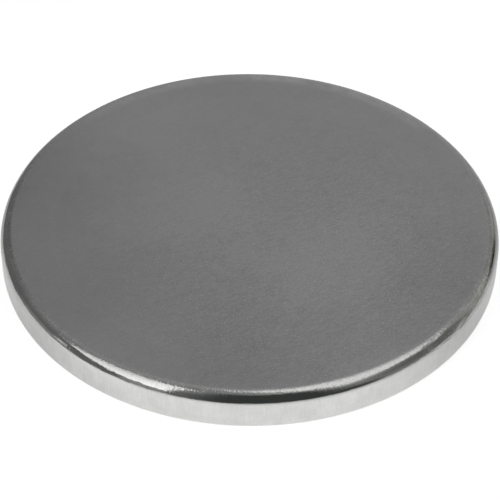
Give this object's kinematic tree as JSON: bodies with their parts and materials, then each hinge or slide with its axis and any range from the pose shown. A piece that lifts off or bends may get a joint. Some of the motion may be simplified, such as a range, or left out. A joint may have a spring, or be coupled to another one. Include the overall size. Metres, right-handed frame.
{
  "type": "rare earth cup magnet",
  "caption": "Thin round cup magnet: a nickel-plated steel cup, flat and closed at the back with rounded edges, with a rare earth disc potted in its open side.",
  "frame": {"origin": "centre of the pull face, in the plane of the cup's rim, which is what it rests on", "axes": "+Z runs through the magnet to the closed back of the cup; +X and +Y are any two square directions, because the part is round"},
  "size_m": [0.018, 0.018, 0.0015],
  "materials": {
    "cup_nickel": "satin",
    "magnet_nickel": "satin",
    "potting_resin": "satin"
  },
  "bodies": {
    "root": {"steel_cup": "cup_nickel", "magnet_disc": "magnet_nickel", "resin_ring": "potting_resin"}
  },
  "joints": []
}
